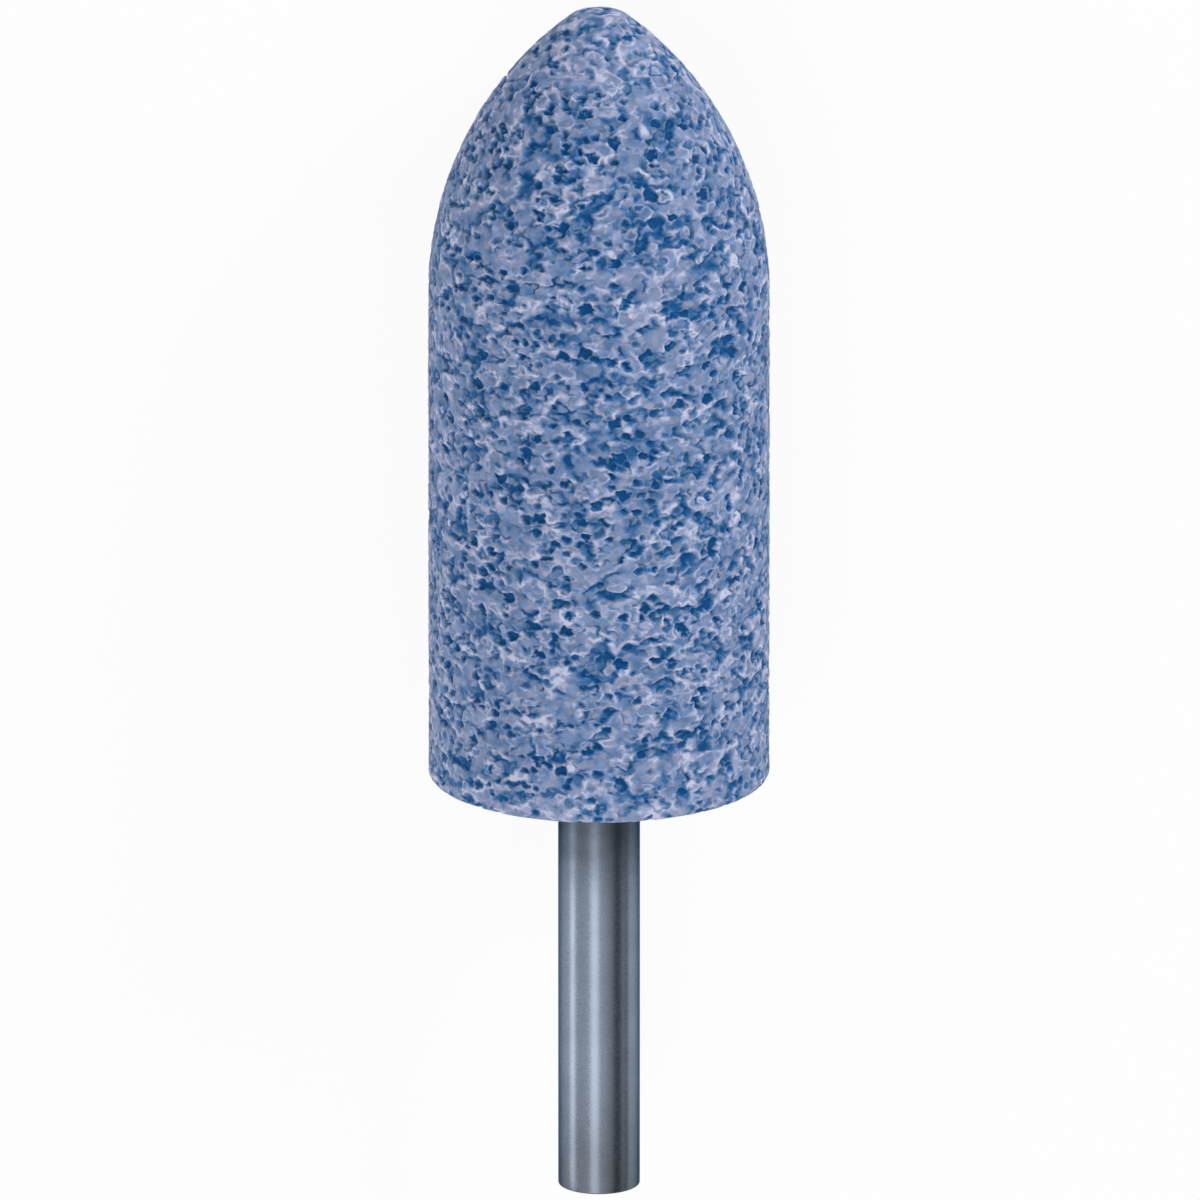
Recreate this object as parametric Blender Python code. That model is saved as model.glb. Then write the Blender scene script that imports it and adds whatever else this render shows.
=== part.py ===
"""A mounted point: a pointed-arch abrasive head cemented on a plain steel shank.

The part lies on its side as it comes to rest, with its axis along Y, its tip towards +Y and
its shank towards -Y. The origin is on the surface that it lies on, below the middle of its
length. Units are metres.
"""

import math

import bmesh
import bpy

# Abrasive head
HEAD_DIAMETER = 0.025
HEAD_LENGTH = 0.058
NOSE_RADIUS = 0.0265  # arc from the straight side to the tip, tangent to the side
TIP_FLAT_DIAMETER = 0.0034
BASE_EDGE_RADIUS = 0.0005
BORE_DEPTH = 0.030

# Steel spindle
SHANK_DIAMETER = 0.006
SHANK_PROJECTION = 0.0314
SHANK_END_BREAK = 0.00012
SEATED_END_CHAMFER = 0.0006
KNURL_LENGTH = 0.022
KNURL_DEPTH = 0.00018

# Cement between the spindle and the bore
CEMENT_WALL = 0.0004
CEMENT_END_THICKNESS = 0.0012
CEMENT_FILLET = 0.0006
BOND_CLEARANCE = 0.00005

# Facets of the turned surfaces
SEGMENTS = 48
NOSE_STEPS = 24
EDGE_STEPS = 4
SMOOTH_BELOW = math.radians(30.0)

HEAD_RADIUS = HEAD_DIAMETER / 2
SHANK_RADIUS = SHANK_DIAMETER / 2
CEMENT_INNER_RADIUS = SHANK_RADIUS + BOND_CLEARANCE
CEMENT_OUTER_RADIUS = CEMENT_INNER_RADIUS + CEMENT_WALL
BORE_RADIUS = CEMENT_OUTER_RADIUS + BOND_CLEARANCE
CEMENT_TOP = BORE_DEPTH - BOND_CLEARANCE
SEATED_END = CEMENT_TOP - CEMENT_END_THICKNESS - BOND_CLEARANCE


def clear_scene():
    """Removes whatever the file holds, so that the part is built alone."""
    for item in list(bpy.data.objects):
        bpy.data.objects.remove(item, do_unlink=True)


def make_material(name, colour, roughness, metallic):
    """Returns a Principled BSDF material with one linear colour."""
    material = bpy.data.materials.new(name)
    material.use_nodes = True
    shader = material.node_tree.nodes["Principled BSDF"]
    shader.inputs["Base Color"].default_value = (*colour, 1.0)
    shader.inputs["Roughness"].default_value = roughness
    shader.inputs["Metallic"].default_value = metallic
    return material


def arc(centre, radius, start, end, steps):
    """Returns the (radius, height) points of an arc, both ends included."""
    points = []
    for step in range(steps + 1):
        angle = start + (end - start) * step / steps
        points.append((centre[0] + radius * math.cos(angle), centre[1] + radius * math.sin(angle)))
    return points


def turn(name, outline, material, parent):
    """Makes one turned solid from an outline that starts and ends on the axis.

    Each point of the outline is a radius and a height, and a knurled one adds its groove
    depth, which pulls in every second corner of that ring. The outline runs up the outer
    side, or down an inner one, so that the faces point out. The rings are turned by half a
    facet, so that a flat facet and not an edge faces down.
    """
    mesh = bmesh.new()
    rings = []
    for radius, height, *groove in outline:
        if radius == 0.0:
            rings.append([mesh.verts.new((0.0, 0.0, height))])
            continue
        ring = []
        for corner in range(SEGMENTS):
            angle = 2 * math.pi * (corner + 0.5) / SEGMENTS
            reach = radius - sum(groove) * (corner % 2)
            ring.append(mesh.verts.new((reach * math.cos(angle), reach * math.sin(angle), height)))
        rings.append(ring)
    for lower, upper in zip(rings, rings[1:]):
        for corner in range(SEGMENTS):
            after = (corner + 1) % SEGMENTS
            if len(lower) == 1:
                mesh.faces.new((lower[0], upper[after], upper[corner]))
            elif len(upper) == 1:
                mesh.faces.new((lower[corner], lower[after], upper[0]))
            else:
                mesh.faces.new((lower[corner], lower[after], upper[after], upper[corner]))
    data = bpy.data.meshes.new(name)
    mesh.to_mesh(data)
    mesh.free()
    data.materials.append(material)
    data.shade_smooth()
    data.set_sharp_from_angle(angle=SMOOTH_BELOW)
    piece = bpy.data.objects.new(name, data)
    bpy.context.collection.objects.link(piece)
    piece.parent = parent
    return piece


def head_outline():
    """The head: blind bore, flat base with a rounded edge, straight side, nose arc, flat tip."""
    tip_radius = TIP_FLAT_DIAMETER / 2
    nose_angle = math.acos((NOSE_RADIUS - HEAD_RADIUS + tip_radius) / NOSE_RADIUS)
    shoulder = HEAD_LENGTH - NOSE_RADIUS * math.sin(nose_angle)
    edge_centre = (HEAD_RADIUS - BASE_EDGE_RADIUS, BASE_EDGE_RADIUS)
    nose_centre = (HEAD_RADIUS - NOSE_RADIUS, shoulder)
    return [
        (0.0, BORE_DEPTH),
        (BORE_RADIUS, BORE_DEPTH),
        (BORE_RADIUS, 0.0),
        *arc(edge_centre, BASE_EDGE_RADIUS, -math.pi / 2, 0.0, EDGE_STEPS),
        *arc(nose_centre, NOSE_RADIUS, 0.0, nose_angle, NOSE_STEPS),
        (0.0, HEAD_LENGTH),
    ]


def spindle_outline():
    """The spindle: square free end, plain shank, knurled and chamfered seated end."""
    knurl_start = SEATED_END - KNURL_LENGTH
    return [
        (0.0, -SHANK_PROJECTION),
        (SHANK_RADIUS - SHANK_END_BREAK, -SHANK_PROJECTION),
        (SHANK_RADIUS, SHANK_END_BREAK - SHANK_PROJECTION),
        (SHANK_RADIUS, knurl_start),
        (SHANK_RADIUS, knurl_start + KNURL_DEPTH, KNURL_DEPTH),
        (SHANK_RADIUS, SEATED_END - SEATED_END_CHAMFER, KNURL_DEPTH),
        (SHANK_RADIUS - SEATED_END_CHAMFER, SEATED_END),
        (0.0, SEATED_END),
    ]


def cement_outline():
    """The cement: a thin cup over the seated end, with a fillet where the shank comes out."""
    inner_end = CEMENT_TOP - CEMENT_END_THICKNESS
    return [
        (0.0, inner_end),
        (CEMENT_INNER_RADIUS, inner_end),
        (CEMENT_INNER_RADIUS, -CEMENT_FILLET),
        (CEMENT_OUTER_RADIUS, 0.0),
        (CEMENT_OUTER_RADIUS, CEMENT_TOP),
        (0.0, CEMENT_TOP),
    ]


def build():
    """Builds the three pieces upright on one axis and lays them on their side."""
    clear_scene()
    overall_length = HEAD_LENGTH + SHANK_PROJECTION
    axis_height = HEAD_RADIUS * math.cos(math.pi / SEGMENTS)
    axis = bpy.data.objects.new("turning_axis", None)
    bpy.context.collection.objects.link(axis)
    axis.rotation_euler = (-math.pi / 2, 0.0, 0.0)
    axis.location = (0.0, SHANK_PROJECTION - overall_length / 2, axis_height)

    abrasive = make_material("blue_grey_abrasive", (0.16, 0.235, 0.40), 0.65, 0.0)
    steel = make_material("ground_steel", (0.42, 0.46, 0.52), 0.30, 1.0)
    cement = make_material("grey_cement", (0.42, 0.40, 0.36), 0.80, 0.0)

    turn("abrasive_head", head_outline(), abrasive, axis)
    turn("spindle", spindle_outline(), steel, axis)
    turn("cement", cement_outline(), cement, axis)


build()
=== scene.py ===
"""The looks of a mounted point: a porous blue-grey abrasive head on a ground steel shank.

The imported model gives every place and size. This script dresses it: the head gets its open
grain as real relief, the shank its ground surface, and both lie on a pale studio floor.
Lengths are in metres, apart from the patterns, which are worked out in millimetres.
"""

import logging
import math
from dataclasses import dataclass, field
from enum import Enum

import bpy
import numpy as np
from mathutils import Matrix, Vector


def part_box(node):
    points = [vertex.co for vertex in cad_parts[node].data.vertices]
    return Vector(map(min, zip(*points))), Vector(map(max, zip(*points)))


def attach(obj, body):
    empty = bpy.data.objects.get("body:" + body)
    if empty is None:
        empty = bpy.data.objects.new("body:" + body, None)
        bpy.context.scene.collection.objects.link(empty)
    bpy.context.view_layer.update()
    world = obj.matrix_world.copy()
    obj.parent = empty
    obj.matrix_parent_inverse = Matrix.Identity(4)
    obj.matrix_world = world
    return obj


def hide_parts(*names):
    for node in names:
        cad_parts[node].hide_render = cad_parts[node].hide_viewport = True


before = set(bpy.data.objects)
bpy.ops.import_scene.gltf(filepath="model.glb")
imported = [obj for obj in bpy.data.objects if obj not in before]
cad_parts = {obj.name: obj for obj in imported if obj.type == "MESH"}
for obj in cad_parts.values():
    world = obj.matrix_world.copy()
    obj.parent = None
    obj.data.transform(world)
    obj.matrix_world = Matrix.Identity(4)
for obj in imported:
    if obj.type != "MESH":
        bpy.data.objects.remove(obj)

LOG = logging.getLogger("mounted_point")
MM = 0.001
QUARTER = math.pi / 2  # a quarter turn
ROOT_BODY = "root"
REST_PLACE = "rest_place"  # each vertex's place before the pores are cut
RELIEF = "relief"  # how open the grain is at each vertex
AXIS = (0.0, 1.0, 0.0)  # the turning axis, towards the tip
NOISE_SPAN = (0.3, 0.7)  # noise runs from 0 to 1 and mostly stays between these
NOISE_MIDDLE = 0.5
LEAST_TURNS = 4  # steps of the smallest arcs

Socket = bpy.types.NodeSocket


def linear(red: int, green: int, blue: int) -> tuple[float, float, float]:
    """Turns a display colour into the linear one that a shader takes.

    Args:
        red: Red from 0 to 255.
        green: Green from 0 to 255.
        blue: Blue from 0 to 255.

    Returns:
        The three linear parts, from 0 to 1.
    """
    parts = []
    for part in (red, green, blue):
        share = part / 255.0
        parts.append(share / 12.92 if share <= 0.04045 else ((share + 0.055) / 1.055) ** 2.4)
    return tuple(parts)


def put(name: str, data: bpy.types.ID) -> bpy.types.Object:
    """Puts a mesh, lamp or camera into the scene.

    Args:
        name: The new object's name.
        data: What the object shows.

    Returns:
        The new object.
    """
    made = bpy.data.objects.new(name, data)
    bpy.context.collection.objects.link(made)
    return made


def stand(place: Vector, right: Vector, up: Vector, back: Vector) -> Matrix:
    """Returns where a lamp or camera stands, with its X, Y and Z along right, up and back."""
    return Matrix.Translation(place) @ Matrix((right, up, back)).transposed().to_4x4()


def settle(piece: bpy.types.Object) -> None:
    """Makes a piece's modifiers permanent.

    Args:
        piece: The object whose mesh is replaced by its modified one.
    """
    graph = bpy.context.evaluated_depsgraph_get()
    graph.update()
    made = bpy.data.meshes.new_from_object(piece.evaluated_get(graph))
    old = piece.data
    piece.modifiers.clear()
    piece.data = made
    bpy.data.meshes.remove(old)


def arc(centre: tuple[float, float], radius: float, start: float, end: float,
        turns: int) -> list[tuple[float, float]]:
    """Steps along an arc of an outline.

    Args:
        centre: Its centre, as distance from the turning axis and height.
        radius: Its radius.
        start: Angle of its first point, from straight outwards.
        end: Angle of its last point.
        turns: Number of steps.

    Returns:
        Its points, as distance from the axis and height, both ends included.
    """
    angles = [start + (end - start) * turn / turns for turn in range(turns + 1)]
    return [(centre[0] + radius * math.cos(angle), centre[1] + radius * math.sin(angle))
            for angle in angles]


def rows(*columns: np.ndarray) -> list[tuple[int, ...]]:
    """Returns faces from columns of vertex indices, one face for each row."""
    return [tuple(row) for row in np.stack(columns, axis=1).tolist()]


class Bench:
    """Adds nodes to one shader or geometry tree and wires them as they are made."""

    def __init__(self, tree: bpy.types.NodeTree) -> None:
        """Takes the tree that the nodes go into."""
        self.tree = tree

    def plug(self, socket: Socket, value: object) -> None:
        """Links a socket to another one, or sets it to a plain value.

        Args:
            socket: The input to fill.
            value: An output socket, a number or a tuple of numbers.
        """
        if isinstance(value, bpy.types.NodeSocket):
            self.tree.links.new(value, socket)
        else:
            socket.default_value = value

    def node(self, kind: str, settings: dict[str, object] | None = None,
             **inputs: object) -> bpy.types.Node:
        """Makes a node, sets its properties and fills its inputs.

        Args:
            kind: The node's type name.
            settings: Properties of the node itself.
            inputs: Values or sockets by input name, with _ for a space.

        Returns:
            The new node.
        """
        made = self.tree.nodes.new(kind)
        for name, value in (settings or {}).items():
            setattr(made, name, value)
        for name, value in inputs.items():
            self.plug(made.inputs[name.replace("_", " ")], value)
        return made

    def step(self, kind: str, operation: str, values: tuple[object, ...]) -> Socket:
        """Wires one step of arithmetic.

        Args:
            kind: The node's type name.
            operation: What it does.
            values: Numbers, tuples or sockets for its inputs, in their order.

        Returns:
            The result.
        """
        made = self.node(kind, {"operation": operation})
        for socket, value in zip(made.inputs, values):
            self.plug(socket, value)
        return made.outputs[0]

    def math(self, operation: str, *values: object) -> Socket:
        """Wires one step with numbers and returns its result."""
        return self.step("ShaderNodeMath", operation, values)

    def vector(self, operation: str, *values: object) -> Socket:
        """Wires one step with vectors and returns its result."""
        return self.step("ShaderNodeVectorMath", operation, values)

    def scaled(self, place: object, factor: object) -> Socket:
        """Returns the vector times one factor."""
        return self.node("ShaderNodeVectorMath", {"operation": "SCALE"}, Vector=place,
                         Scale=factor).outputs[0]

    def ramp(self, value: object, low: float, high: float, start: float = 0.0, end: float = 1.0,
             smooth: bool = True) -> Socket:
        """Maps a range of values to another, held at both ends.

        Args:
            value: What is mapped.
            low: The value that gives start.
            high: The value that gives end.
            start: Result at low.
            end: Result at high.
            smooth: Eases both ends.

        Returns:
            The mapped value.
        """
        made = self.node("ShaderNodeMapRange", {
            "interpolation_type": "SMOOTHSTEP" if smooth else "LINEAR", "clamp": True})
        for name, given in (("Value", value), ("From Min", low), ("From Max", high),
                            ("To Min", start), ("To Max", end)):
            self.plug(made.inputs[name], given)
        return made.outputs["Result"]

    def sway(self, noise: Socket, reach: float) -> Socket:
        """Turns noise into a value from minus reach to plus reach."""
        return self.ramp(noise, *NOISE_SPAN, -reach, reach)

    def noise(self, place: object, size: float, detail: float = 2.0, roughness: float = 0.5,
              colour: bool = False) -> Socket:
        """Makes soft noise.

        Args:
            place: Where it is read.
            size: Rough size of its features, in the place's own unit.
            detail: How many finer layers it has.
            roughness: How strong the finer layers are.
            colour: Gives three values in place of one.

        Returns:
            The noise, from 0 to 1.
        """
        made = self.node("ShaderNodeTexNoise", Vector=place, Scale=1.0 / size, Detail=detail,
                         Roughness=roughness)
        return made.outputs["Color" if colour else "Fac"]

    def cells(self, place: object, size: float) -> tuple[Socket, Socket]:
        """Scatters points about size apart.

        Args:
            place: Where the pattern is read.
            size: Mean distance between the points, in the place's own unit.

        Returns:
            The distance to the nearest point as a share of size, and that point's own colour.
        """
        made = self.node("ShaderNodeTexVoronoi", {"feature": "F1"}, Vector=place, Scale=1.0 / size)
        return made.outputs["Distance"], made.outputs["Color"]

    def gradient(self, value: object, stops: list[tuple[float, tuple[float, ...]]],
                 blend: str = "LINEAR") -> Socket:
        """Turns a value into a colour.

        Args:
            value: From 0 to 1.
            stops: Pairs of a place from 0 to 1 and a linear colour.
            blend: How one stop runs into the next.

        Returns:
            The colour.
        """
        made = self.node("ShaderNodeValToRGB", Fac=value)
        made.color_ramp.interpolation = blend
        elements = made.color_ramp.elements
        while len(elements) < len(stops):
            elements.new(0.5)
        for element, (place, colour) in zip(elements, stops):
            element.position = place
            element.color = (*colour, 1.0)
        return made.outputs["Color"]

    def parts(self, colour: object) -> tuple[Socket, ...]:
        """Splits a colour or vector into its three parts."""
        return tuple(self.node("ShaderNodeSeparateXYZ", Vector=colour).outputs)

    def mix(self, share: object, first: object, second: object) -> Socket:
        """Mixes two colours.

        Args:
            share: How much of the second, from 0 to 1.
            first: Colour at 0.
            second: Colour at 1.

        Returns:
            The mixed colour.
        """
        made = self.node("ShaderNodeMix", {"data_type": "RGBA"}, Factor=share)
        for name, given in (("A", first), ("B", second)):
            socket = next(s for s in made.inputs if s.name == name and s.type == "RGBA")
            self.plug(socket, (*given, 1.0) if isinstance(given, tuple) else given)
        return next(s for s in made.outputs if s.type == "RGBA")


class Surface(Bench):
    """A new material with its shader, and the nodes that feed it."""

    def __init__(self, name: str) -> None:
        """Makes the material.

        Args:
            name: The material's name.
        """
        self.material = bpy.data.materials.new(name)
        self.material.use_nodes = True
        super().__init__(self.material.node_tree)
        self.shader = self.tree.nodes["Principled BSDF"]

    def feed(self, **inputs: object) -> None:
        """Fills the shader's inputs.

        Args:
            inputs: Values or sockets by input name, with _ for a space.
        """
        for name, value in inputs.items():
            self.plug(self.shader.inputs[name.replace("_", " ")], value)

    def place_mm(self) -> Socket:
        """Returns the place on the piece, in millimetres."""
        return self.scaled(self.node("ShaderNodeTexCoord").outputs["Object"], 1.0 / MM)

    def emboss(self, height: Socket, strength: float, depth: float) -> None:
        """Gives the surface a fine relief.

        Args:
            height: How high it stands, as a share of depth.
            strength: How much of the relief shows.
            depth: The relief's full depth.
        """
        bump = self.node("ShaderNodeBump", Strength=strength, Distance=depth, Height=height)
        self.feed(Normal=bump.outputs["Normal"])


@dataclass(frozen=True)
class GrainPattern:
    """The open structure of the vitrified grain, in millimetres.

    Crumbs of grain are torn along winding folds. A fold is a crack with a pale lip beside it,
    and open pores lie scattered between the folds, with larger torn pits (vugs) among them. One
    tone, from about 0 at the bottom of a pore to about 1 on the crest of a lip, gives both depth
    and colour, so that a hollow's painted shade always sits in it: the colour darkens into the
    cracks, pores and vugs as painted shade, and pales on the lips and the pores' rims as painted
    highlight. Names that end in share say how much a form adds to the tone or takes from it, and
    those that end in aside move a layer, so that no two layers run alike.
    """

    stretch: float = 1.30
    warp_size: float = 0.60
    warp_reach: float = 0.28
    lift: float = 0.52
    fold_size: float = 2.2
    small_fold_size: float = 1.35
    fold_detail: float = 1.3
    fold_roughness: float = 0.45
    fold_open: tuple[float, float] = (0.40, 0.60)
    crack_at: float = 0.425
    crack_width: float = 0.08
    crack_heart: float = 0.3
    crack_shade_share: float = 0.31
    lip_at: float = 0.56
    lip_width: float = 0.065
    lip_crest: float = 0.2
    lip_highlight_share: float = 0.28
    torn_size: float = 0.95
    torn_detail: float = 1.5
    torn_share: float = 0.62
    pore_size: float = 1.08
    pore_heart: float = 0.10
    pore_edge: float = 0.43
    pore_shade_share: float = 0.50
    pore_open: tuple[float, float] = (0.35, 0.60)
    vug_size: float = 2.1
    vug_reach: float = 0.48
    vug_heart: float = 0.18
    vug_edge: float = 0.28
    vug_shade_share: float = 0.52
    rim_width: float = 0.08
    rim_highlight_share: float = 0.18
    patch_size: float = 3.0
    patch_share: float = 0.32
    hue_size: float = 0.6
    pit_floor: float = 0.05
    pit_edge: float = 0.50
    pit_depth: float = 0.26
    crest_height: float = 0.06
    closing: float = 0.16
    wear_aside: tuple[float, float, float] = (2.9, 8.1, 4.3)
    small_aside: tuple[float, float, float] = (7.3, 3.1, 5.7)
    hue_aside: tuple[float, float, float] = (4.4, 9.2, 1.8)

    @staticmethod
    def contour(bench: Bench, level: Socket, at: float, width: float, heart: float) -> Socket:
        """Wires the winding line where noise passes one level.

        Args:
            bench: The tree to work in.
            level: The noise.
            at: The level that the line follows.
            width: How far from that level the line ends.
            heart: The share of width where the line is full.

        Returns:
            From 0 off the line to 1 in it.
        """
        away = bench.math("ABSOLUTE", bench.math("SUBTRACT", level, at))
        return bench.ramp(away, heart * width, width, 1.0, 0.0)

    def fold(self, bench: Bench, place: Socket, size: float) -> Socket:
        """Wires one set of folds.

        Args:
            bench: The tree to work in.
            place: Where the pattern is read, in millimetres.
            size: Size of the crumbs that the folds part.

        Returns:
            What the folds add to the tone: less in a crack, painted shade as well as depth, and
                more
            on its lip, painted highlight as well as height.
        """
        level = bench.noise(place, size, self.fold_detail, self.fold_roughness)
        wear = bench.noise(bench.vector("ADD", place, self.wear_aside), size)
        crack = self.contour(bench, level, self.crack_at, self.crack_width, self.crack_heart)
        lip = self.contour(bench, level, self.lip_at, self.lip_width, self.lip_crest)
        both = bench.math("SUBTRACT", bench.math("MULTIPLY", lip, self.lip_highlight_share),
                          bench.math("MULTIPLY", crack, self.crack_shade_share))
        return bench.math("MULTIPLY", both, bench.ramp(wear, *self.fold_open))

    def pores(self, bench: Bench, place: Socket, size: float, heart: float, edge: float,
              share: float) -> Socket:
        """Wires one set of pores, of which about half are open.

        Args:
            bench: The tree to work in.
            place: Where the pattern is read, in millimetres.
            size: Mean distance between the pores.
            heart: Radius of a pore's bottom, as a share of size.
            edge: Radius of its mouth, as a share of size.
            share: How much darker its bottom is, painted shade as well as depth.

        Returns:
            What the pores add to the tone: less inside them, painted shade as well as depth, and a
            little more on their rims, painted highlight as well as height.
        """
        away, tag = bench.cells(place, size)
        pore = bench.ramp(away, heart, edge, -share, 0.0)
        rim = bench.math("ABSOLUTE", bench.math("SUBTRACT", away, edge + self.rim_width / 2))
        rim = bench.ramp(rim, 0.0, self.rim_width, self.rim_highlight_share, 0.0)
        return bench.math("MULTIPLY", bench.math("ADD", pore, rim),
                          bench.ramp(bench.parts(tag)[0], *self.pore_open))

    def lay(self, bench: Bench, place: Socket, relief: Socket) -> dict[str, Socket]:
        """Wires the pattern.

        Args:
            bench: The tree to work in.
            place: The place on the undisturbed surface, in metres.
            relief: From 0 on smooth skin to 1 where the grain is fully open.

        Returns:
            Sockets: tone, height in millimetres above the skin, and hue, from 0 to 1.
        """
        mm = bench.scaled(place, 1.0 / MM)
        drawn = bench.vector("MULTIPLY", mm, (1.0, self.stretch, 1.0))
        shake = bench.vector("SUBTRACT", bench.noise(drawn, self.warp_size, 1.0, colour=True),
                             (NOISE_MIDDLE,) * 3)
        warped = bench.vector("ADD", drawn, bench.scaled(shake, 2.0 * self.warp_reach))
        ragged = bench.vector("ADD", drawn, bench.scaled(shake, 2.0 * self.vug_reach))
        aside = bench.vector("ADD", warped, self.small_aside)
        tone = bench.math("ADD", self.fold(bench, warped, self.fold_size), self.lift)
        tone = bench.math("ADD", tone, self.fold(bench, aside, self.small_fold_size))
        for part, share in (
            (bench.noise(aside, self.torn_size, self.torn_detail), self.torn_share),
            (bench.noise(mm, self.patch_size), self.patch_share),
        ):
            around = bench.math("SUBTRACT", part, NOISE_MIDDLE)
            tone = bench.math("ADD", tone, bench.math("MULTIPLY", around, share))
        for where, *form in (
            (warped, self.pore_size, self.pore_heart, self.pore_edge, self.pore_shade_share),
            (ragged, self.vug_size, self.vug_heart, self.vug_edge, self.vug_shade_share),
        ):
            tone = bench.math("ADD", tone, self.pores(bench, where, *form))
        closed = bench.math("MULTIPLY", bench.math("SUBTRACT", 1.0, relief), self.closing)
        tone = bench.math("ADD", tone, closed)
        pit = bench.ramp(tone, self.pit_floor, self.pit_edge, -self.pit_depth, 0.0)
        rise = bench.ramp(tone, self.pit_edge, 1.0, -self.crest_height, 0.0, smooth=False)
        height = bench.math("MULTIPLY", bench.math("ADD", pit, rise), relief)
        hue = bench.noise(bench.vector("ADD", warped, self.hue_aside), self.hue_size)
        return {"tone": tone, "height": height, "hue": bench.ramp(hue, *NOISE_SPAN)}


@dataclass(frozen=True)
class AbrasiveFinish:
    """Fired blue-grey abrasive: pale lavender ridges round deep blue pits.

    The pits' deep blue is painted shade, and the ridges' pale lavender painted highlight on top of
    their real relief. The hue runs between a greyer and a bluer side, and fades out on the palest
    ridges.
    """

    # Colours by tone: the deep blues of the pits are painted shade, the palest lavenders of the
    # crests painted highlight, and the tones between them the grain's own blue-grey.
    tones: tuple[tuple[float, tuple[int, int, int]], ...] = (
        (0.00, (0, 74, 132)),
        (0.12, (14, 86, 144)),
        (0.30, (65, 108, 160)),
        (0.46, (105, 129, 170)),
        (0.63, (136, 151, 189)),
        (0.80, (164, 172, 206)),
        (1.00, (198, 203, 228)),
    )
    grey_side: tuple[float, float, float] = (1.16, 1.01, 0.91)
    blue_side: tuple[float, float, float] = (0.80, 0.99, 1.08)
    no_tint: tuple[float, float, float] = (1.0, 1.0, 1.0)
    hue_fades: tuple[float, float] = (0.60, 0.90)
    roughness: float = 0.62
    roughness_spread: float = 0.08
    gloss: float = 0.15
    bump: float = 0.2

    def make(self, pattern: GrainPattern) -> bpy.types.Material:
        """Builds the material.

        Args:
            pattern: The grain pattern that also shaped the mesh.

        Returns:
            The finished material.
        """
        surface = Surface("fired_abrasive")
        place = surface.node("ShaderNodeAttribute", {"attribute_name": REST_PLACE})
        relief = surface.node("ShaderNodeAttribute", {"attribute_name": RELIEF})
        laid = pattern.lay(surface, place.outputs["Vector"], relief.outputs["Fac"])
        tint = surface.mix(laid["hue"], self.grey_side, self.blue_side)
        tint = surface.mix(surface.ramp(laid["tone"], *self.hue_fades), tint, self.no_tint)
        # Painted shade in the pores and cracks, and painted highlight on the lips and rims, through
        # the tone.
        stops = [(level, linear(*shade)) for level, shade in self.tones]
        colour = surface.vector("MULTIPLY", surface.gradient(laid["tone"], stops), tint)
        rough = surface.ramp(laid["hue"], 0.0, 1.0, self.roughness - self.roughness_spread,
                             self.roughness + self.roughness_spread)
        surface.feed(Base_Color=colour, Roughness=rough, Specular_IOR_Level=self.gloss)
        surface.emboss(laid["height"], self.bump, MM)
        return surface.material


@dataclass(frozen=True)
class GroundSteelFinish:
    """Centreless-ground tool steel: dark and bluish, with a fine satin grain.

    The steel is painted darker over a length next to the head, a painted shadow of the head,
    and is darker and duller over a length at the free end. Patterns are in millimetres.
    """

    metal: tuple[int, int, int] = (132, 142, 158)
    edge_tint: tuple[int, int, int] = (130, 140, 156)
    # Painted shadow: the darker colour of the steel next to the head, where the head shades the
    # shank.
    head_shadow_metal: tuple[int, int, int] = (80, 88, 99)
    head_shadow_length: float = 12.5
    head_shadow_ragged: float = 0.1
    near_head_roughness: float = 0.08
    darker_end_metal: tuple[int, int, int] = (112, 119, 130)
    darker_end_length: float = 11.0
    grain_size: float = 0.17
    grain_detail: float = 3.0
    grain_roughness: float = 0.65
    grain_stretch: float = 1.9
    grain_shade: float = 0.10
    cloud_size: float = 2.4
    cloud_shade: float = 0.05
    roughness_from: tuple[float, float] = (0.25, 0.75)
    roughness: tuple[float, float] = (0.18, 0.30)
    bump: float = 0.25
    bump_depth: float = 0.02 * MM

    def make(self, base: float, free_end: float) -> bpy.types.Material:
        """Builds the material.

        Args:
            base: Where the head's base plane stands along Y, in metres.
            free_end: Where the free end stands along Y, in metres.

        Returns:
            The finished material.
        """
        surface = Surface("ground_steel")
        mm = surface.place_mm()
        drawn = surface.vector("MULTIPLY", mm, (1.0, self.grain_stretch, 1.0))
        grain = surface.noise(drawn, self.grain_size, self.grain_detail, self.grain_roughness)
        cloud = surface.noise(mm, self.cloud_size)
        along = surface.parts(mm)[1]
        start, end = base / MM, free_end / MM
        # Painted shadow: from 0 away from the head to 1 at its base plane, with a ragged edge.
        near = surface.ramp(along, start - self.head_shadow_length, start)
        near = surface.math("ADD", near, surface.sway(cloud, self.head_shadow_ragged))
        near = surface.ramp(near, 0.0, 1.0)
        # Darker and duller towards the free end.
        far = surface.ramp(along, end, end + self.darker_end_length, 1.0, 0.0)
        metal = surface.mix(near, linear(*self.metal), linear(*self.head_shadow_metal))
        metal = surface.mix(far, metal, linear(*self.darker_end_metal))
        shade = surface.math("ADD", surface.sway(grain, self.grain_shade),
                             surface.sway(cloud, self.cloud_shade))
        rough = surface.ramp(grain, *self.roughness_from, *self.roughness)
        rough = surface.math("ADD", rough, surface.math("MULTIPLY", near, self.near_head_roughness))
        surface.feed(Base_Color=surface.scaled(metal, surface.math("ADD", 1.0, shade)),
                     Roughness=rough, Metallic=1.0, Specular_Tint=(*linear(*self.edge_tint), 1.0))
        surface.emboss(grain, self.bump, self.bump_depth)
        return surface.material


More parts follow.
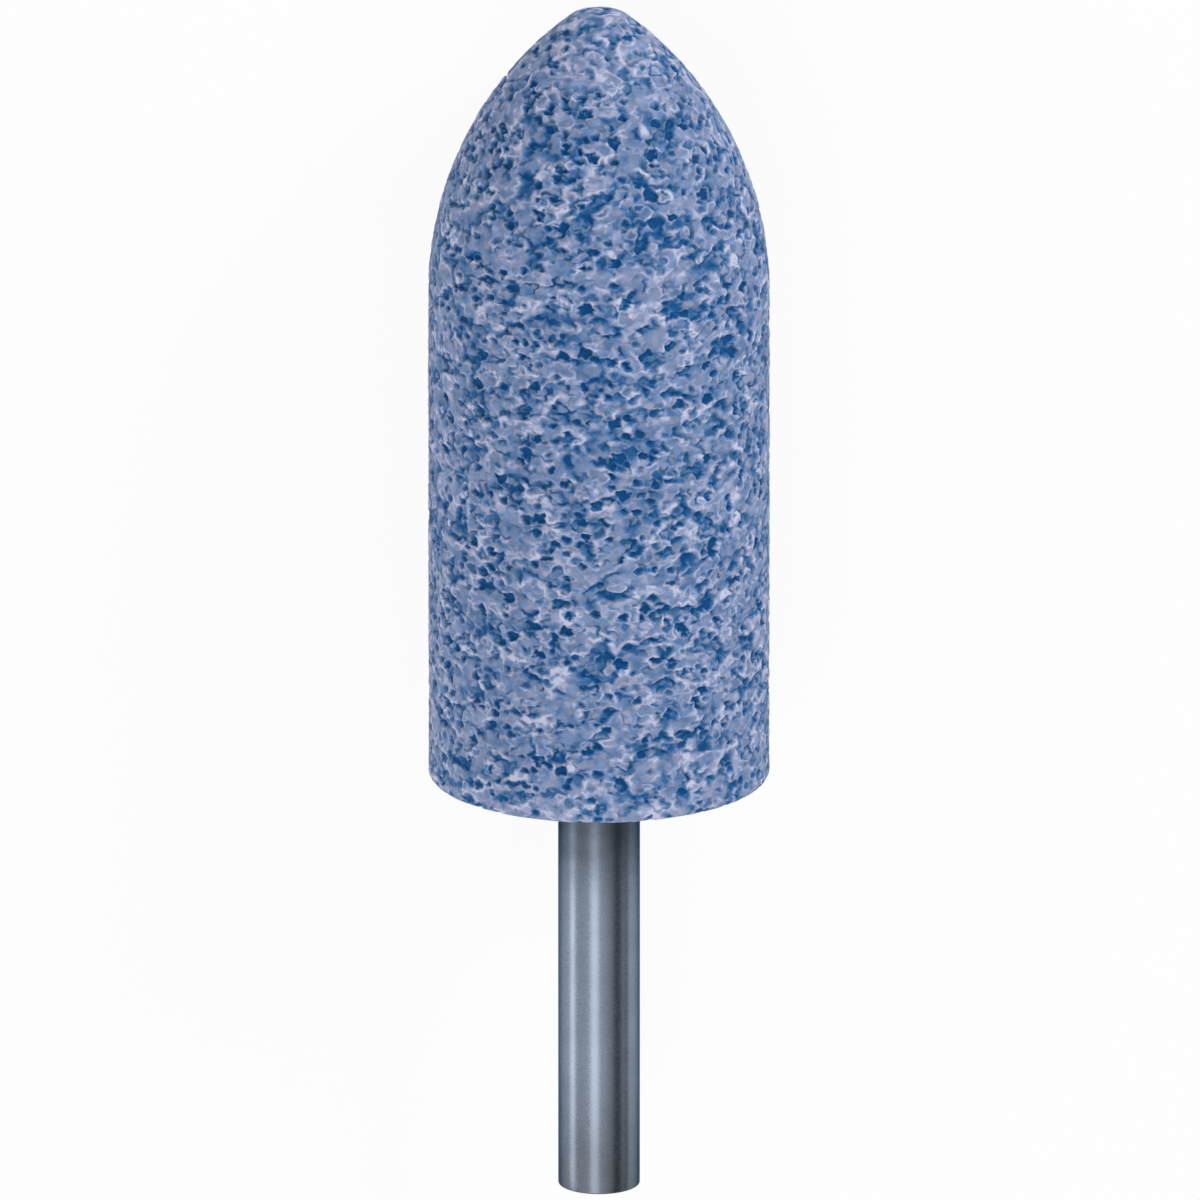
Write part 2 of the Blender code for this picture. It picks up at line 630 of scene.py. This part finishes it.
@dataclass(frozen=True)
class CementFinish:
    """Set grey cement with a fine crumb."""

    paste: tuple[int, int, int] = (158, 154, 144)
    dark_crumb_and_hollow_shade: tuple[int, int, int] = (118, 114, 106)
    roughness: float = 0.85
    crumb_size: float = 0.2
    crumb_detail: float = 3.0
    crumb_roughness: float = 0.6
    bump: float = 0.5
    bump_depth: float = 0.08 * MM

    def make(self) -> bpy.types.Material:
        """Builds the material.

        Returns:
            The finished material.
        """
        surface = Surface("set_cement")
        crumb = surface.noise(surface.place_mm(), self.crumb_size, self.crumb_detail,
                              self.crumb_roughness)
        # Darker where the crumb bump is low: partly the crumb's own mottled tone, partly painted
        # shade in its hollows.
        colour = surface.mix(surface.ramp(crumb, *NOISE_SPAN), linear(*self.dark_crumb_and_hollow_shade),
                             linear(*self.paste))
        surface.feed(Base_Color=colour, Roughness=self.roughness)
        surface.emboss(crumb, self.bump, self.bump_depth)
        return surface.material


@dataclass
class TurnedSkin:
    """A turned surface as rings of vertices along Y, whose counts may halve or double."""

    axis_height: float
    flutes: int = 24
    radii: list[float] = field(default_factory=list)
    places: list[float] = field(default_factory=list)
    counts: list[int] = field(default_factory=list)
    grooves: list[float] = field(default_factory=list)

    def ring(self, radius: float, place: float, count: int, groove: float = 0.0) -> None:
        """Adds a ring.

        Args:
            radius: Its radius.
            place: Where it stands along Y.
            count: How many vertices it has. A count of 1 is a point on the axis.
            groove: Depth of the knurl's flutes in it.
        """
        self.radii.append(radius)
        self.places.append(place)
        self.counts.append(count)
        self.grooves.append(groove)

    def vertices(self) -> np.ndarray:
        """Works out where the vertices stand.

        Returns:
            All vertices, ring after ring.
        """
        rings = []
        for radius, place, count, groove in zip(self.radii, self.places, self.counts, self.grooves):
            angle = 2.0 * math.pi * (np.arange(count) + 0.5) / count
            # From 0 on a ridge of the knurl to 1 at the bottom of a flute.
            into = np.abs((angle * self.flutes / (2.0 * math.pi)) % 1.0 - 0.5) * 2.0
            reach = 0.0 if count == 1 else radius - groove * into
            rings.append(np.stack([reach * np.cos(angle), np.full(count, place),
                                   self.axis_height - reach * np.sin(angle)], axis=1))
        return np.concatenate(rings)

    def faces(self) -> list[tuple[int, ...]]:
        """Joins each ring to the next.

        Returns:
            The faces, pointing out.
        """
        starts = [0, *np.cumsum(self.counts).tolist()]
        made: list[tuple[int, ...]] = []
        for low, low_count, high, high_count in zip(starts, self.counts, starts[1:],
                                                    self.counts[1:]):
            made += self.band(low, low_count, high, high_count)
        return made

    @staticmethod
    def band(low: int, low_count: int, high: int, high_count: int) -> list[tuple[int, ...]]:
        """Joins two rings.

        Args:
            low: Index of the first ring's first vertex.
            low_count: Vertices of the first ring.
            high: Index of the second ring's first vertex.
            high_count: Vertices of the second ring, as many, half, twice or one.

        Returns:
            The faces, as tuples of vertex indices.
        """
        here = np.arange(max(low_count, high_count))
        after = (here + 1) % len(here)
        if low_count == high_count:
            return rows(low + here, low + after, high + after, high + here)
        if low_count == 1:
            return rows(np.full(len(here), low), high + after, high + here)
        if high_count == 1:
            return rows(low + here, low + after, np.full(len(here), high))
        here = np.arange(min(low_count, high_count))
        after = (here + 1) % len(here)
        wide, narrow = (low, high) if low_count > high_count else (high, low)
        first, second, third = wide + 2 * here, wide + 2 * here + 1, wide + 2 * after
        one, two = narrow + here, narrow + after
        if low_count > high_count:
            return rows(first, second, one) + rows(second, third, two) + rows(second, two, one)
        return rows(one, second, first) + rows(one, two, third) + rows(one, third, second)

    def mesh(self, name: str) -> bpy.types.Mesh:
        """Makes the mesh, with smooth shading.

        Args:
            name: The mesh's name.

        Returns:
            The new mesh.
        """
        made = bpy.data.meshes.new(name)
        made.from_pydata(self.vertices().tolist(), [], self.faces())
        made.shade_smooth()
        return made


class Detail(Enum):
    """How finely the head's skin is first laid out: its mean edge, and its vertices around."""

    DRAFT = (0.20 * MM, 384)
    FULL = (0.125 * MM, 768)


@dataclass
class AbrasiveHead:
    """The fired head with its open grain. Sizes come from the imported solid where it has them.

    base_relief and tip_relief say how open the grain is at distances from the base and from the
    tip: the moulded base edge and the tip are closer and smoother than the side.
    """

    name: str = "abrasive_head"
    nose_radius: float = 26.5 * MM
    tip_flat_radius: float = 1.7 * MM
    tip_fillet: float = 1.6 * MM
    edge_radius: float = 0.5 * MM
    bore_radius: float = 3.5 * MM
    bore_depth: float = 30.0 * MM
    bore_mouth: float = 1.0 * MM
    bore_rings: int = 12
    bore_count: int = 96
    bore_slack: float = 0.05 * MM
    least_count: int = 12
    least_edge: float = 0.55
    most_triangles: int = 198000
    base_relief: tuple[tuple[float, float], ...] = (
        (0.0, 0.5), (0.6 * MM, 0.45), (2.6 * MM, 0.75), (5.0 * MM, 1.0))
    tip_relief: tuple[tuple[float, float], ...] = (
        (0.0, 0.45), (2.0 * MM, 0.6), (5.5 * MM, 1.0))
    pattern: GrainPattern = field(default_factory=GrainPattern)
    finish: AbrasiveFinish = field(default_factory=AbrasiveFinish)
    radius: float = field(init=False)
    length: float = field(init=False)
    base: float = field(init=False)
    axis_height: float = field(init=False)

    def __post_init__(self) -> None:
        """Reads the head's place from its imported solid."""
        low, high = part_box(self.name)
        self.radius = high.x
        self.base = low.y
        self.length = high.y - low.y
        self.axis_height = (low.z + high.z) / 2

    def outline(self, step: float) -> list[tuple[float, float]]:
        """Works out the outer outline, from the bore's mouth to the tip flat.

        Args:
            step: Distance between points.

        Returns:
            Radius and distance from the base, point by point.
        """
        side, edge, fillet, length = self.radius, self.edge_radius, self.tip_fillet, self.length
        # The nose arc would meet the tip flat at the angle sharp. The fillet ends it before that.
        sharp = math.acos((self.nose_radius - side + self.tip_flat_radius) / self.nose_radius)
        shoulder = length - self.nose_radius * math.sin(sharp)
        inner = self.nose_radius - fillet
        nose = math.asin((length - fillet - shoulder) / inner)
        flat = side - self.nose_radius + inner * math.cos(nose)
        edge_turns = max(LEAST_TURNS, round(edge * QUARTER / step))
        nose_turns = round(self.nose_radius * nose / step)
        tip_turns = max(LEAST_TURNS, round(fillet * (QUARTER - nose) / step))
        return [
            *((radius, 0.0) for radius in np.arange(self.bore_radius, side - edge, step)),
            *arc((side - edge, edge), edge, -QUARTER, 0.0, edge_turns),
            *((side, height) for height in np.arange(edge + step, shoulder, step)),
            *arc((side - self.nose_radius, shoulder), self.nose_radius, 0.0, nose, nose_turns),
            *arc((flat, length - fillet), fillet, nose, QUARTER, tip_turns)[1:],
            *((radius, length) for radius in np.arange(flat - step, step, -step)),
        ]

    def count_at(self, radius: float, around: int) -> int:
        """Finds how many vertices a ring has, so that the edges stay about even.

        Args:
            radius: The ring's radius.
            around: Vertices around the straight side.

        Returns:
            The count: around, or that halved once or more.
        """
        count = around
        least = self.least_edge * self.radius / around
        while count > self.least_count and radius / count < least:
            count //= 2
        return count

    def lay_skin(self, detail: Detail) -> TurnedSkin:
        """Lays the head out, from the bore's end round the outside to the tip.

        Args:
            detail: How finely the skin is laid out.

        Returns:
            The undisturbed skin.
        """
        step, around = detail.value
        skin = TurnedSkin(self.axis_height)
        skin.ring(0.0, self.base + self.bore_depth, 1)
        for height in np.linspace(self.bore_depth, self.bore_mouth, self.bore_rings):
            skin.ring(self.bore_radius, self.base + height, self.bore_count)
        for radius, height in self.outline(step):
            last = skin.counts[-1]
            count = min(max(self.count_at(radius, around), last // 2), last * 2)
            skin.ring(radius, self.base + height, count)
        skin.ring(0.0, self.base + self.length, 1)
        return skin

    def relief_at(self, points: np.ndarray) -> np.ndarray:
        """Says how open the grain is.

        Args:
            points: Places on the skin.

        Returns:
            From 0 on smooth skin to 1, for each place.
        """
        reach = np.hypot(points[:, 0], points[:, 2] - self.axis_height)
        height = points[:, 1] - self.base
        relief = np.minimum(np.interp(height, *zip(*self.base_relief)),
                            np.interp(self.length - height, *zip(*self.tip_relief)))
        in_bore = ((reach < self.bore_radius + self.bore_slack)
                   & (height < self.bore_depth + self.bore_slack))
        relief[in_bore] = 0.0
        return relief

    def build(self, detail: Detail) -> bpy.types.Object:
        """Builds the head as one closed mesh with its pores cut in.

        Args:
            detail: How finely the skin is laid out.

        Returns:
            The head's object.
        """
        skin = self.lay_skin(detail)
        points = skin.vertices()
        mesh = skin.mesh(self.name + "_grain")
        mesh.attributes.new(REST_PLACE, "FLOAT_VECTOR", "POINT").data.foreach_set(
            "vector", points.astype(np.float32).ravel())
        mesh.attributes.new(RELIEF, "FLOAT", "POINT").data.foreach_set(
            "value", self.relief_at(points).astype(np.float32))
        head = put(self.name + "_grain", mesh)
        self.cut_pores(head)
        if detail is Detail.FULL:
            self.thin(head)
        return head

    def cut_pores(self, head: bpy.types.Object) -> None:
        """Moves the skin in by the grain pattern, with geometry nodes.

        Args:
            head: The head's object, with its undisturbed skin.
        """
        tree = bpy.data.node_groups.new("cut_pores", "GeometryNodeTree")
        for side in ("INPUT", "OUTPUT"):
            tree.interface.new_socket("Geometry", in_out=side, socket_type="NodeSocketGeometry")
        bench = Bench(tree)
        place, relief = (
            bench.node("GeometryNodeInputNamedAttribute", {"data_type": kind},
                       Name=name).outputs["Attribute"]
            for name, kind in ((REST_PLACE, "FLOAT_VECTOR"), (RELIEF, "FLOAT")))
        depth = bench.math("MULTIPLY", self.pattern.lay(bench, place, relief)["height"], MM)
        normal = bench.node("GeometryNodeInputNormal").outputs["Normal"]
        moved = bench.node("GeometryNodeSetPosition",
                           Geometry=bench.node("NodeGroupInput").outputs["Geometry"],
                           Offset=bench.scaled(normal, depth))
        bench.node("NodeGroupOutput", Geometry=moved.outputs["Geometry"])
        head.modifiers.new("cut_pores", "NODES").node_group = tree
        settle(head)

    def thin(self, head: bpy.types.Object) -> None:
        """Spends the triangles where the pores need them.

        Args:
            head: The head's object, with its pores cut.
        """
        triangles = sum(len(face.vertices) - 2 for face in head.data.polygons)
        if triangles > self.most_triangles:
            head.modifiers.new("thin", "DECIMATE").ratio = self.most_triangles / triangles
            settle(head)

    def dress(self, head: bpy.types.Object) -> None:
        """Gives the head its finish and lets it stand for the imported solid.

        Args:
            head: The head's object.
        """
        head.data.materials.clear()
        head.data.materials.append(self.finish.make(self.pattern))
        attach(head, ROOT_BODY)
        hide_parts(self.name)


@dataclass
class TurnedPiece:
    """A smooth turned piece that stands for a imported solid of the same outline.

    Lengths along the axis are measured from the head's base plane, towards the tip.
    """

    name: str
    count: int = 192
    sharp_from: float = math.radians(28.0)

    def outline(self) -> list[tuple[float, ...]]:
        """Returns radius, place along the axis and, where it is knurled, the groove's depth."""
        raise NotImplementedError

    def finish(self, base: float) -> bpy.types.Material:
        """Returns the piece's material, for a head whose base plane stands at base along Y."""
        raise NotImplementedError

    def dress(self, head: AbrasiveHead, slot: str) -> bpy.types.Object:
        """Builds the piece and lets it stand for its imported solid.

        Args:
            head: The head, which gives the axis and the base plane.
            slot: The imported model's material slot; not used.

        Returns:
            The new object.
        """
        skin = TurnedSkin(head.axis_height)
        for radius, place, *groove in self.outline():
            skin.ring(radius, head.base + place, 1 if radius == 0.0 else self.count, *groove)
        mesh = skin.mesh(self.name + "_turned")
        mesh.set_sharp_from_angle(angle=self.sharp_from)
        mesh.materials.append(self.finish(head.base))
        piece = put(self.name + "_turned", mesh)
        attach(piece, ROOT_BODY)
        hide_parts(self.name)
        return piece


@dataclass
class Spindle(TurnedPiece):
    """The ground steel shank with its square free end and its knurled seated end."""

    name: str = "spindle"
    radius: float = 3.0 * MM
    projection: float = 31.4 * MM
    end_break: float = 0.12 * MM
    first_ring: float = 1.0 * MM
    plain_rings: int = 12
    knurl_length: float = 22.0 * MM
    knurl_depth: float = 0.18 * MM
    seated_end: float = 28.7 * MM
    seated_chamfer: float = 0.6 * MM

    def outline(self) -> list[tuple[float, ...]]:
        """Runs from the free end's centre up the side to the seated end.

        Returns:
            The outline's points.
        """
        free_end = -self.projection
        knurl = self.seated_end - self.knurl_length
        plain = np.linspace(free_end + self.first_ring, knurl, self.plain_rings)
        return [
            (0.0, free_end),
            *arc((self.radius - self.end_break, free_end + self.end_break), self.end_break,
                 -QUARTER, 0.0, LEAST_TURNS),
            *((self.radius, place) for place in plain),
            (self.radius, knurl + self.knurl_depth, self.knurl_depth),
            (self.radius, self.seated_end - self.seated_chamfer, self.knurl_depth),
            (self.radius - self.seated_chamfer, self.seated_end),
            (0.0, self.seated_end),
        ]

    def finish(self, base: float) -> bpy.types.Material:
        """Returns the ground steel, for a head whose base plane stands at base along Y."""
        return GroundSteelFinish().make(base, base - self.projection)


@dataclass
class Cement(TurnedPiece):
    """The thin cup of cement between shank and head, with its fillet round the shank.

    fillet_steps are the fillet's points across the wall, and fillet_sag its hollow, as shares.
    """

    name: str = "cement"
    inner_radius: float = 3.05 * MM
    outer_radius: float = 3.45 * MM
    fillet: float = 0.6 * MM
    fillet_steps: tuple[float, ...] = (0.15, 0.35, 0.6, 0.82, 1.0)
    fillet_sag: float = 0.18
    inner_end: float = 28.75 * MM
    top: float = 29.95 * MM

    def outline(self) -> list[tuple[float, ...]]:
        """Runs down the inner side, round the fillet and up the outer side.

        Returns:
            The outline's points.
        """
        wall = self.outer_radius - self.inner_radius
        points: list[tuple[float, ...]] = [
            (0.0, self.inner_end),
            (self.inner_radius, self.inner_end),
            (self.inner_radius, -self.fillet),
        ]
        for share in self.fillet_steps:
            drop = max(0.0, 1.0 - share - self.fillet_sag * math.sin(math.pi * share))
            points.append((self.inner_radius + wall * share, -self.fillet * drop))
        return [*points, (self.outer_radius, self.top), (0.0, self.top)]

    def finish(self, base: float) -> bpy.types.Material:
        """Returns the set cement, which is the same wherever the base plane stands."""
        return CementFinish().make()


@dataclass(frozen=True)
class SoftLamp:
    """One soft studio lamp: where it stands, what it aims at, its two sides and its brightness."""

    name: str
    place: tuple[float, float, float]
    width: float
    length: float
    glow: float
    aim: tuple[float, float, float] = (0.0, 0.0, 0.012)
    watts_per_glow: float = 4.0  # for each square metre of lamp

    def hang(self) -> None:
        """Puts the lamp up. Its length runs as close to the object's axis as its aim allows."""
        data = bpy.data.lights.new(self.name, "AREA")
        data.shape = "RECTANGLE"
        data.size = self.width
        data.size_y = self.length
        data.energy = self.glow * self.watts_per_glow * self.width * self.length
        lamp = put(self.name, data)
        place = Vector(self.place)
        back = (place - Vector(self.aim)).normalized()
        across = Vector(AXIS).cross(back).normalized()
        lamp.matrix_world = stand(place, across, back.cross(across), back)
        lamp.visible_camera = False


@dataclass(frozen=True)
class Studio:
    """Pale floor, soft lamps and the photograph's camera.

    surround gives the brightness round the object's axis, by the angle from straight up in
    degrees, and back_share is what is left of it on the tip's side. seen_share is how far the
    floor looks plain white to the camera and in reflections, and the rest keeps its shadow.
    """

    tilt: float = math.radians(17.0)
    lens: float = 1000.0
    sensor: float = 36.0
    camera_reach: float = 20.0
    view_width: float = 87.66 * MM
    aim_above_base: float = 13.30 * MM
    aim_aside: float = 0.07 * MM
    floor_radius: float = 4.0
    floor_sides: int = 96
    floor_shade: float = 0.92
    seen_share: float = 0.92
    back_share: float = 0.45
    back_span: tuple[float, float] = (-0.05, 0.35)
    surround: tuple[tuple[float, float], ...] = (
        (-90.0, 0.84), (-60.0, 0.84), (-30.0, 0.90), (12.0, 0.88), (32.0, 0.60), (50.0, 0.10),
        (60.0, 0.14), (72.0, 0.58), (82.0, 0.30), (90.0, 0.24),
    )
    lamps: tuple[SoftLamp, ...] = (
        SoftLamp("overhead_strip", (-0.13, -0.17, 0.59), 0.23, 0.60, 1.1),
        SoftLamp("left_strip", (-0.59, -0.17, 0.115), 0.17, 0.30, 1.35),
        SoftLamp("tip_side_lamp", (0.60, 0.48, 0.42), 0.34, 0.34, 8.8),
    )

    def place_camera(self, head: AbrasiveHead) -> None:
        """Looks down on the lying point as the photograph looks at it, tip to the top.

        Args:
            head: The head, which the camera is aimed by.
        """
        data = bpy.data.cameras.new("camera")
        data.lens = self.lens
        data.sensor_width = self.sensor
        data.clip_end = self.camera_reach
        camera = put("camera", data)
        back = Vector((0.0, math.sin(self.tilt), math.cos(self.tilt)))
        up = Vector((0.0, math.cos(self.tilt), -math.sin(self.tilt)))
        aim = Vector((self.aim_aside, head.base + self.aim_above_base, head.axis_height))
        distance = self.view_width * self.lens / self.sensor
        camera.matrix_world = stand(aim + back * distance, up.cross(back), up, back)
        bpy.context.scene.camera = camera

    def lay_floor(self) -> None:
        """Lays a pale round floor, which looks white where nothing shades it."""
        mesh = bpy.data.meshes.new("floor")
        angle = np.linspace(0.0, 2.0 * math.pi, self.floor_sides, endpoint=False)
        points = np.stack([self.floor_radius * np.cos(angle), self.floor_radius * np.sin(angle),
                           np.zeros(self.floor_sides)], axis=1)
        mesh.from_pydata(points.tolist(), [], [tuple(range(self.floor_sides))])
        surface = Surface("pale_floor")
        surface.tree.nodes.remove(surface.shader)
        paper = surface.node("ShaderNodeBsdfDiffuse", Color=(*(self.floor_shade,) * 3, 1.0))
        glow = surface.node("ShaderNodeEmission", Color=(1.0, 1.0, 1.0, 1.0), Strength=1.0)
        path = surface.node("ShaderNodeLightPath").outputs
        seen = surface.math("MAXIMUM", path["Is Camera Ray"], path["Is Glossy Ray"])
        seen = surface.math("MAXIMUM", seen, path["Is Transmission Ray"])
        blend = surface.node("ShaderNodeMixShader")
        for socket, given in zip(blend.inputs, (surface.math("MULTIPLY", seen, self.seen_share),
                                                paper.outputs[0], glow.outputs[0])):
            surface.plug(socket, given)
        output = next(n for n in surface.tree.nodes if n.type == "OUTPUT_MATERIAL")
        surface.plug(output.inputs["Surface"], blend.outputs[0])
        mesh.materials.append(surface.material)
        floor = put("floor", mesh)

    def light(self) -> None:
        """Hangs the lamps and sets the soft surround."""
        world = bpy.data.worlds.new("surround")
        bpy.context.scene.world = world
        world.use_nodes = True
        bench = Bench(world.node_tree)
        across, along, up = bench.parts(bench.node("ShaderNodeTexCoord").outputs["Generated"])
        angle = bench.math("DEGREES", bench.math("ARCTAN2", across, up))
        first, last = self.surround[0][0], self.surround[-1][0]
        stops = [((side - first) / (last - first), (level,) * 3) for side, level in self.surround]
        round_axis = bench.gradient(bench.ramp(angle, first, last, smooth=False), stops, "EASE")
        toward_tip = bench.ramp(along, *self.back_span, 1.0, self.back_share)
        back = world.node_tree.nodes["Background"]
        bench.plug(back.inputs["Color"], bench.scaled(round_axis, toward_tip))
        back.inputs["Strength"].default_value = 1.0
        for lamp in self.lamps:
            lamp.hang()
        bpy.context.scene.view_settings.view_transform = "Standard"


def main() -> None:
    """Builds and dresses the pieces in order."""
    logging.basicConfig(level=logging.INFO, format="%(name)s: %(message)s")
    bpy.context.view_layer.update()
    head = AbrasiveHead()
    skin = head.build(Detail.FULL)
    head.dress(skin)
    LOG.info("%s has %d faces", skin.name, len(skin.data.polygons))
    for piece, slot in ((Spindle(), "steel"), (Cement(), "cement")):
        made = piece.dress(head, slot)
        LOG.info("%s has %d faces", made.name, len(made.data.polygons))
    studio = Studio()
    studio.place_camera(head)
    studio.lay_floor()
    studio.light()


if __name__ == "__main__":
    main()
